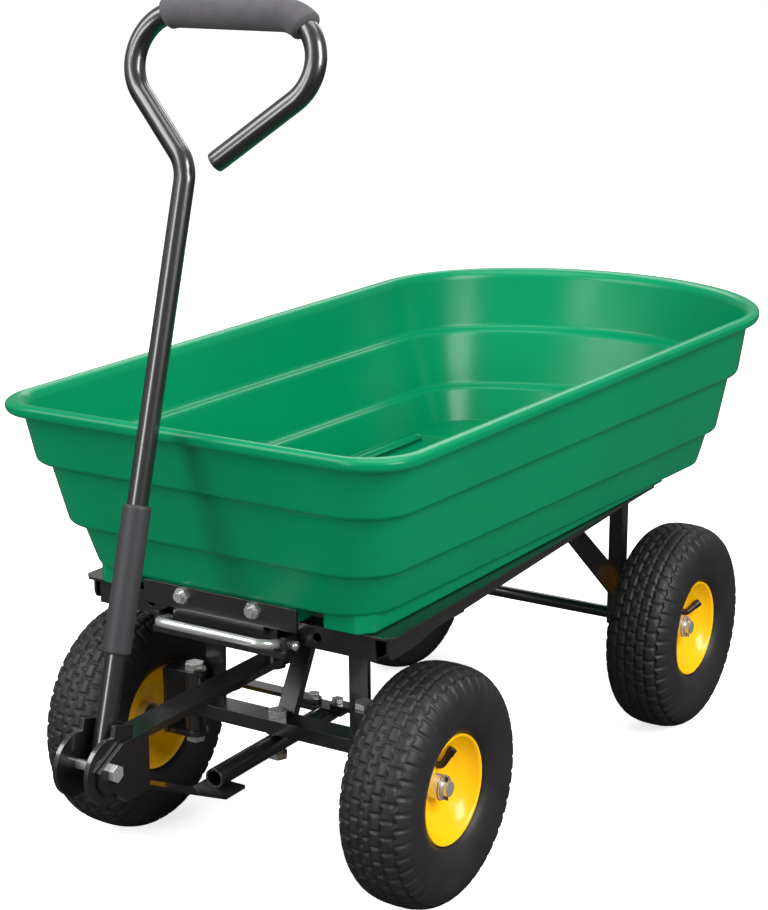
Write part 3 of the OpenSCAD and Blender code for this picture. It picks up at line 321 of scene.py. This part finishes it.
def tub_floor():
    """The tub's floor as a height over its plan: a plane that falls to the rear, let down into the two
    hollow runners by smooth steps, except along its edge."""
    right = tub_plan(FLOOR_INSET)[0, FRONT_COUNT:HALF_COUNT]
    y = np.linspace(right[0, 1] + FLOOR_NICK, right[-1, 1] - FLOOR_NICK, FLOOR_ROWS)[:, None]
    half = np.interp(y, right[:, 1], right[:, 0])
    x = np.linspace(-1, 1, FLOOR_COLUMNS) * half
    across = between(np.abs(x), *runner_edges(y))
    across = across * smooth_step(half - np.abs(x), LEVEL_EDGE, LEVEL_WIDTH)
    within = between(y, *RUNNER_Y)
    top = FLOOR_TOP - FLOOR_DROP * along(y)
    z = top - (top - RUNNER_LOW - RUNNER_WALL) * across * within
    return surface("tub_floor", grid(x, y, z), GREEN, closed_rows=False)


def foot(name, outline, low, flipped=False):
    """A block under the sloping floor whose lower edges are rounded: its outline is drawn in towards
    its middle by a quarter circle, and its top lies in the floor."""
    outline = np.array(outline, float)
    sides = np.roll(outline, -1, 0) - outline
    t = np.linspace(0, 1, FOOT_SIDE_COUNT, endpoint=False)[:, None]
    dense = (outline[:, None] + sides[:, None] * t).reshape(-1, 2)
    middle = dense.mean(0)
    size = np.abs(dense - middle).max(0)
    turn = np.linspace(0, QUARTER, FOOT_STEPS)
    shrink = np.concatenate([[size.min() * FOOT_MIDDLE], FOOT_EDGE * (1 - np.sin(turn))])
    z = np.concatenate([[low], low + FOOT_EDGE * (1 - np.cos(turn))])
    rings = middle + (dense - middle) * (1 - shrink[:, None, None] / size)
    lower = grid(rings[..., 0], rings[..., 1], z[:, None])
    top_z = FLOOR_LOW + FOOT_LAP - FLOOR_DROP * along(dense[:, 1])
    top = grid(dense[:, 0], dense[:, 1], top_z)
    return surface(name, np.concatenate([lower, top[None]]), GREEN, flipped=flipped)


def tub_feet():
    """The two runners, each the other's mirror, and the boss behind the latch plate."""
    pieces = []
    front, rear = RUNNER_Y
    outline = np.array([
        (RUNNER_INNER[0], front), (RUNNER_OUTER[0] - RUNNER_BEVEL, front),
        (RUNNER_OUTER[0], front + RUNNER_BEVEL), (RUNNER_OUTER[1], rear - RUNNER_BEVEL),
        (RUNNER_OUTER[1] - RUNNER_BEVEL, rear), (RUNNER_INNER[1], rear),
    ])
    for name, side in (("runner_left", -1), ("runner_right", 1)):
        pieces.append(foot(name, outline * [side, 1], RUNNER_LOW, flipped=side < 0))
    pieces.append(foot("latch_boss", BOSS_OUTLINE, BOSS_LOW))
    return pieces


# Wheels

TYRE_R = 130.0
TYRE_HALF = 42.0
RIM_R = 60.0
BEAD_HALF = 26.5
BEAD_GAP = 0.5
SHOULDER_POWER = 0.75
SHOULDER_COUNT = 120
SIDE_WALL_COUNT = 60
TYRE_COUNT = 72
BLOCKS = 44
BLOCK_STEPS = 14
GROOVE = 2.6
ROW_EDGE = 1.2
GAP_EDGE = 0.1
# Length from the crown where the tread has half run out, and the width over which it does
TREAD_END = 52.0
TREAD_FADE = 14.0
# Rows of blocks from the crown out: start and end of the row in mm, its shift along the tyre in
# blocks, the share of a block that is groove, and how far its edges swing to and fro in mm
TREAD_ROWS = [
    (0, 5.5, 0.0, 0.14, 0.5),
    (7.5, 17, 0.5, 0.15, 0.7),
    (19.5, 30, 0.15, 0.17, 1.2),
    (33, 45, 0.6, 0.22, 2.4),
    (45, 60, 0.6, 0.34, 0.0),
]
# Radius and place along the axle from the wheel's middle, of the rim and of the washer and axle end
RIM_SECTION = [
    (14.0, -5), (34, -5), (44, -13), (50, -22), (55, -29), (59, -31), (60, -29), (60, -26), (58, -24),
    (56, -12), (56, 12), (58, 24), (60, 26), (60, 29), (59, 31), (56.5, 29.5), (53, 23), (48, 17),
    (36, 8), (28, 5), (14.0, 5),
]
RIM_ROUND = 4.0
RIM_STEPS = 120
CAP_SECTION = [(8.0, 17.4), (13.1, 17.4), (13.1, 20.0), (8.1, 20.0), (8.1, 26.1), (0.05, 26.1)]
CAP_ROUND = 0.8
CAP_STEPS = 48


def on_axle(name, wheel, radius, place, angle, material):
    """A section turned about a wheel's axle: each point goes round a circle of its radius at its place
    along the axle. The radius may change with the angle."""
    centre_x, centre_y, side = WHEELS[wheel]
    y = centre_y + radius * np.cos(angle)
    z = AXLE_Z + radius * np.sin(angle)
    return surface(name + "_" + wheel, grid(centre_x + side * place, y, z), material,
                   closed_rows=False, closed_columns=True, flipped=side > 0)


def tyre_section(count):
    """Half of the tyre's outside from the crown to the bead: a superellipse to the widest place, then
    an ellipse in to the rim, at equal steps of its length. Gives the radius, the place along the axle
    and the length from the crown of each point."""
    wide_r = (TYRE_R + RIM_R) / 2
    a = np.linspace(QUARTER, 0, SHOULDER_COUNT)
    b = np.linspace(0, QUARTER, SIDE_WALL_COUNT)[1:]
    shoulder_r = wide_r + (TYRE_R - wide_r) * np.sin(a) ** SHOULDER_POWER
    shoulder_x = TYRE_HALF * np.cos(a) ** SHOULDER_POWER
    wall_r = wide_r - (wide_r - RIM_R - BEAD_GAP) * np.sin(b)
    wall_x = BEAD_HALF + (TYRE_HALF - BEAD_HALF) * np.cos(b)
    r = np.concatenate([shoulder_r, wall_r])
    x = np.concatenate([shoulder_x, wall_x])
    s = np.concatenate([[0], np.cumsum(np.hypot(np.diff(r), np.diff(x)))])
    equal = np.linspace(0, s[-1], count)
    return np.interp(equal, s, r), np.interp(equal, s, x), equal


def tread(s, angle):
    """Depth of the tread below its top: rows of blocks each side of a middle row, parted by grooves
    that swing to and fro along the tyre and by grooves across. s is the length from the crown."""
    top = 0.0
    turn = angle * BLOCKS / (2 * math.pi)
    for low, high, shift, gap, swing in TREAD_ROWS:
        phase = np.abs((turn + shift) % 1 - 0.5) * 2
        sway = swing * (2 * phase - 1)
        inside = 1 - smooth_step(s, high + sway, ROW_EDGE)
        if low:
            inside = inside * smooth_step(s, low + sway, ROW_EDGE)
        top = np.maximum(top, inside * smooth_step(phase, gap, GAP_EDGE))
    fade = 1 - smooth_step(s, TREAD_END, TREAD_FADE)
    return GROOVE * fade * (1 - top)


def tyre(name):
    """The tyre: its section turned about the axle, let down by the tread's depth. The blocks of one
    half are shifted by half a block."""
    r, x, s = tyre_section(TYRE_COUNT)
    r = np.concatenate([r[::-1], r[1:]])
    x = np.concatenate([-x[::-1], x[1:]])
    s = np.concatenate([-s[::-1], s[1:]])
    angle = full_turn(BLOCKS * BLOCK_STEPS)[:, None]
    shift = np.where(s < 0, math.pi / BLOCKS, 0.0)
    obj = on_axle("tyre_skin", name, r - tread(np.abs(s), angle + shift), x, angle, RUBBER)
    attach(obj, "wheel_" + name)
    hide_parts("tyre_" + name)


def rim(name):
    """The pressed rim: a rounded section of two dishes and a well, turned about the axle."""
    radius, place = rounded(RIM_SECTION, RIM_ROUND).T
    obj = on_axle("rim_skin", name, radius, place, full_turn(RIM_STEPS)[:, None], YELLOW)
    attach(obj, "wheel_" + name)
    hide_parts("rim_" + name)


def axle_cap(name):
    """The plated washer and axle end outside a wheel: a rounded section turned about the axle."""
    radius, place = rounded(CAP_SECTION, CAP_ROUND).T
    obj = on_axle("axle_cap", name, radius, place, full_turn(CAP_STEPS)[:, None], ZINC)
    end, hand = name.split("_")
    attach(obj, "knuckle_" + hand if end == "front" else "chassis")


# Bent tubes

PIVOT_Y = -314.0
PIVOT_Z = 221.0
LEAN = math.radians(16)
SHAFT_OFF = 13.0
SHAFT_START = 10.0
HANDLE_R = 10.5
HANDLE_HOLE = 8.5
TUBE_LIP = 0.25
TUBE_STEP = 3.0
TUBE_SIDES = 40
HOLE_COUNT = 26
LEFT_C = (-32.0, 686.0)
LEFT_R = 48.0
RIGHT_C = (86.0, 689.0)
RIGHT_R = 45.0
KINK_R = 40.0
KINK = 45.0
OPEN_SLOPE = 38.0
OPEN_LEN = 102.0
GRIP_R = 16.0
GRIP_ROUND = 4.0
# Where the grip ends on the left and the right bend, in degrees
GRIP_LEFT = 111.0
GRIP_RIGHT = 48.0
COVER_SIDES = 48
SLEEVE_LOW = 110.0
SLEEVE_HIGH = 256.0
SLEEVE_WALL = 3.5
SLEEVE_ROUND = 2.0
SLEEVE_COUNT = 90
FINE_STEP = 1.5
# A tube that starts closer than this to the y direction starts its frame from x instead
ALONG_Y = 0.9


def sweep(name, path, radii, material, sides=TUBE_SIDES, flipped=False):
    """A round tube along a path: a circle of the radius at each point, square to the path, in a frame
    that starts along one direction and is carried without twist."""
    tangent = np.gradient(path, axis=0)
    tangent /= np.linalg.norm(tangent, axis=1)[:, None]
    helper = [0.0, 1.0, 0.0] if abs(tangent[0][1]) < ALONG_Y else [1.0, 0.0, 0.0]
    carried = np.cross(tangent[0], helper)
    frames = []
    for way in tangent:
        carried = carried - way * np.dot(carried, way)
        carried = carried / np.linalg.norm(carried)
        frames.append(carried)
    u = np.array(frames)
    v = np.cross(tangent, u)
    angle = full_turn(sides)[:, None]
    circles = np.cos(angle) * u[:, None] + np.sin(angle) * v[:, None]
    return surface(name, path[:, None] + radii[:, None, None] * circles, material, flipped=flipped)


def on_loop(x, s):
    """Points of the handle's plane, which leans back: x sideways, s along the shaft from the pivot."""
    y = PIVOT_Y + SHAFT_OFF * math.cos(LEAN) + s * math.sin(LEAN)
    z = PIVOT_Z - SHAFT_OFF * math.sin(LEAN) + s * math.cos(LEAN)
    return grid(x, y, z)


def arc(centre, r, start, end, count=40):
    """Points of a flat arc about a centre at equal angles, in degrees."""
    a = np.radians(np.linspace(start, end, count))
    return grid(centre[0] + r * np.cos(a), centre[1] + r * np.sin(a))


def even(points, step):
    """The same flat path with a point at every step of its length."""
    lengths = np.concatenate([[0], np.cumsum(np.linalg.norm(np.diff(points, axis=0), axis=1))])
    keep = np.concatenate([[True], np.diff(lengths) > 1e-6])
    places = np.linspace(0, lengths[-1], max(2, int(lengths[-1] / step)))
    x, t = points[keep].T
    return grid(np.interp(places, lengths[keep], x), np.interp(places, lengths[keep], t))


def handle_plan():
    """The handle's line in its plane, of straights and arcs: from the bracket up the shaft, over the
    kink and round the loop to its end."""
    low_x = LEFT_C[0] - LEFT_R * math.cos(math.radians(KINK))
    low_s = LEFT_C[1] - LEFT_R * math.sin(math.radians(KINK))
    kink_s = low_s + low_x * math.tan(math.radians(KINK))
    shaft_end = kink_s - KINK_R * math.tan(math.radians(KINK / 2))
    shaft = [(0, SHAFT_START), (0, shaft_end)]
    kink = arc((-KINK_R, shaft_end), KINK_R, 0, KINK)
    left = arc(LEFT_C, LEFT_R, 180 + KINK, 90)
    right = arc(RIGHT_C, RIGHT_R, 90, OPEN_SLOPE - 90)
    slope = math.radians(OPEN_SLOPE)
    end = right[-1:] - [OPEN_LEN * math.cos(slope), OPEN_LEN * math.sin(slope)]
    return even(np.vstack([shaft, kink, left, right, end]), TUBE_STEP)


def handle():
    """The handle's tube, open at the end of the loop, with its grip and sleeve, whose ends are rounded
    over by quarter circles."""
    line = on_loop(*handle_plan().T)
    radii = np.full(len(line), HANDLE_R)
    radii[-1] = HANDLE_R - TUBE_LIP
    outside = sweep("handle_tube_outside", line, radii, BLACK)
    radii = np.full(HOLE_COUNT, HANDLE_HOLE)
    radii[0] = HANDLE_R - TUBE_LIP
    inside = sweep("handle_tube_inside", line[::-1][:HOLE_COUNT], radii, BLACK, flipped=True)
    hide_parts("handle_tube")
    grip_line = [arc(LEFT_C, LEFT_R, GRIP_LEFT, 90, 14), arc(RIGHT_C, RIGHT_R, 90, GRIP_RIGHT, 28)]
    grip_points = on_loop(*even(np.vstack(grip_line), FINE_STEP).T)
    order = np.arange(len(grip_points))
    swell = round_over(np.minimum(order, order[::-1]) * FINE_STEP, GRIP_ROUND)
    grip = sweep("foam_grip", grip_points, HANDLE_R + (GRIP_R - HANDLE_R) * swell, FOAM, COVER_SIDES)
    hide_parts("grip")
    s = np.linspace(SLEEVE_LOW, SLEEVE_HIGH, SLEEVE_COUNT)
    swell = round_over(np.minimum(s - SLEEVE_LOW, SLEEVE_HIGH - s), SLEEVE_ROUND)
    sleeve = sweep("sleeve_skin", on_loop(0, s), HANDLE_R + SLEEVE_WALL * swell, SLEEVE, COVER_SIDES)
    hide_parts("sleeve")
    for piece in (outside, inside, grip, sleeve):
        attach(piece, "handle")


ROD_R = 5.0
ROD_TIP = 0.3
ROD_HALF = 71.0
ROD_END = 90.0
ROD_PIVOT = (0.0, -91.0, 292.0)
ROD_REACH = (-31.0, 7.0)
ROD_SIDES = 32
EAR_BEND = 6.0
BAR_BEND = 16.0


def release_handle():
    """The release handle's rod: out from each ear, round two quarter bends and across the front."""
    length = math.hypot(*ROD_REACH)
    ear = arc((ROD_HALF + EAR_BEND, EAR_BEND), EAR_BEND, 270, 180, 16)
    bar = arc((ROD_HALF - BAR_BEND, length - BAR_BEND), BAR_BEND, 0, 90, 20)
    right = np.vstack([[(ROD_END, 0)], ear, bar])
    x, t = even(np.vstack([right, right[::-1] * [-1, 1]]), FINE_STEP).T
    path = grid(x, ROD_REACH[0] / length * t, ROD_REACH[1] / length * t) + ROD_PIVOT
    radii = np.full(len(path), ROD_R)
    radii[[0, -1]] = ROD_TIP
    obj = sweep("release_rod", path, radii, ZINC, ROD_SIDES)
    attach(obj, "latch")
    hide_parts("release_handle")


# Construction pieces that are plated
PLATED = ("hub", "kingpins", "pivot_bolt", "latch_bolts", "tongue_pins", "handle_bolt", "arm_pin",
          "axle_washers", "hinge_pin")


def finish_node(node):
    """The finish of a construction piece that is shown as it is."""
    if node.startswith("valve"):
        return VALVE
    if node.startswith(PLATED):
        return ZINC
    return BLACK


# Studio, in metres

CAMERA_PLACE = (1.2358, -2.0375, 1.0387)
CAMERA_YAW = 31.74
CAMERA_PITCH = 15.10
CAMERA_LENS = 83.79
CAMERA_SENSOR = 36.0
CAMERA_SHIFT = (-0.0023, 0.0040)
CAMERA_FAR = 200.0
# Strength of the surround on the part and in its reflections, and of the floor's own light
SURROUND = 0.34
REFLECTED = 0.3
FLOOR_GLOW = 0.74
FLOOR_REACH = 60.0
FLOOR_ROUGHNESS = 0.9
# The floor's colour, what it throws back on the part, and what the part mirrors of it
FLOOR_COLOUR = "#F2F2F2"
FLOOR_BOUNCE = "#9A9A9A"
FLOOR_MIRRORED = "#303030"
WHITE = "#FFFFFF"
# Name, place, the point it is turned to, size and power
LIGHTS = [
    ("key", (-1.5, -2.0, 2.7), (0, 0, 0.4), (2.0, 2.0), 86),
    ("front", (-0.5, -3.4, 1.25), (0, -0.5, 0.5), (0.8, 1.8), 38),
    ("side", (2.6, -0.5, 2.1), (0, 0, 0.35), (1.3, 2.0), 108),
    ("top", (0.2, 0.3, 3.0), (0, 0.1, 0.4), (1.8, 2.0), 38),
    ("back", (-0.9, 2.4, 2.3), (0, 0.2, 0.45), (2.4, 1.2), 30),
]


def stand(name, data, place, right, back):
    """A light or a camera at a place, from the directions of its right and its back."""
    obj = bpy.data.objects.new(name, data)
    bpy.context.scene.collection.objects.link(obj)
    up = np.cross(back, right)
    obj.matrix_world = Matrix(np.column_stack([right, up, back, place]).tolist() + [[0, 0, 0, 1]])
    return obj


def light(name, place, target, size, power):
    """A soft rectangular light at a place, turned to a target and level."""
    data = bpy.data.lights.new(name, "AREA")
    data.shape = "RECTANGLE"
    data.size, data.size_y = size
    data.energy = power
    back = np.subtract(place, target)
    back /= np.linalg.norm(back)
    right = np.cross([0.0, 0.0, 1.0], back)
    right /= np.linalg.norm(right)
    stand(name, data, place, right, back)


def camera():
    """The photograph's view, from its turn about the vertical and its tilt."""
    data = bpy.data.cameras.new("photo_view")
    data.lens = CAMERA_LENS
    data.sensor_width = CAMERA_SENSOR
    data.shift_x, data.shift_y = CAMERA_SHIFT
    data.clip_end = CAMERA_FAR
    a = math.radians(CAMERA_YAW)
    e = math.radians(CAMERA_PITCH)
    right = (math.cos(a), math.sin(a), 0.0)
    back = (math.sin(a) * math.cos(e), -math.cos(a) * math.cos(e), math.sin(e))
    bpy.context.scene.camera = stand("photo_view", data, CAMERA_PLACE, right, back)


def studio_floor():
    """A pale floor that glows to the camera, and is darker in the light and the reflections that it
    gives the part."""
    material, tree, coords = new_material("Pale studio floor")
    tint = mottled(tree, coords, linear(FLOOR_COLOUR), 0.01, 400.0)
    seen = add(tree, "ShaderNodeLightPath")
    glow = add(tree, "ShaderNodeMath", {"operation": "MULTIPLY"})
    tree.links.new(seen.outputs["Is Camera Ray"], glow.inputs[0])
    glow.inputs[1].default_value = FLOOR_GLOW
    bounce = add(tree, "ShaderNodeMixRGB", Fac=(seen, "Is Diffuse Ray"), Color1=(tint, "Color"),
                 Color2=linear(FLOOR_BOUNCE))
    dim = add(tree, "ShaderNodeMixRGB", Fac=(seen, "Is Glossy Ray"), Color1=(bounce, "Color"),
              Color2=linear(FLOOR_MIRRORED))
    close(tree, add(tree, "ShaderNodeBsdfPrincipled", Base_Color=(dim, "Color"),
                    Roughness=FLOOR_ROUGHNESS, Emission_Color=linear(WHITE),
                    Emission_Strength=(glow, "Value")))
    mesh = bpy.data.meshes.new("floor")
    corners = np.array([(-1, -1, 0), (1, -1, 0), (1, 1, 0), (-1, 1, 0)]) * FLOOR_REACH
    mesh.from_pydata(corners.tolist(), [], [(0, 1, 2, 3)])
    mesh.materials.append(material)
    floor = bpy.data.objects.new("floor", mesh)
    bpy.context.scene.collection.objects.link(floor)


def surround():
    """A surround that is white to the camera, dimmer on the part and dimmest in its reflections."""
    world = bpy.data.worlds.new("White surround")
    world.use_nodes = True
    tree = world.node_tree
    seen = add(tree, "ShaderNodeLightPath")
    on_part = add(tree, "ShaderNodeMapRange", Value=(seen, "Is Glossy Ray"), To_Min=SURROUND,
                  To_Max=REFLECTED)
    strength = add(tree, "ShaderNodeMapRange", Value=(seen, "Is Camera Ray"),
                   To_Min=(on_part, "Result"), To_Max=1.0)
    shade = tree.nodes["Background"]
    shade.inputs["Color"].default_value = linear(WHITE)
    tree.links.new(strength.outputs["Result"], shade.inputs["Strength"])
    bpy.context.scene.world = world


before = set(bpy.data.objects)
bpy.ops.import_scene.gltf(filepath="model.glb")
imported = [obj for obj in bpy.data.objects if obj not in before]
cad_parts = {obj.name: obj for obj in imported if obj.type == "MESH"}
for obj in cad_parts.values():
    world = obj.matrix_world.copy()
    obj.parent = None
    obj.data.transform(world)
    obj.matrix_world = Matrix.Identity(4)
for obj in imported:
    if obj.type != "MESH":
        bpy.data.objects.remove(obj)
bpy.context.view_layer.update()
for node_name, node_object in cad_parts.items():
    node_object.data.materials.clear()
    node_object.data.materials.append(finish_node(node_name))

tub_pieces = [tub_shell(), tub_floor()] + tub_feet()
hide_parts("tub")
for piece in tub_pieces:
    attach(piece, "tub")
for wheel in WHEELS:
    tyre(wheel)
    rim(wheel)
    axle_cap(wheel)
handle()
release_handle()
camera()
studio_floor()
surround()
for lamp in LIGHTS:
    light(*lamp)
bpy.context.scene.view_settings.view_transform = "Standard"
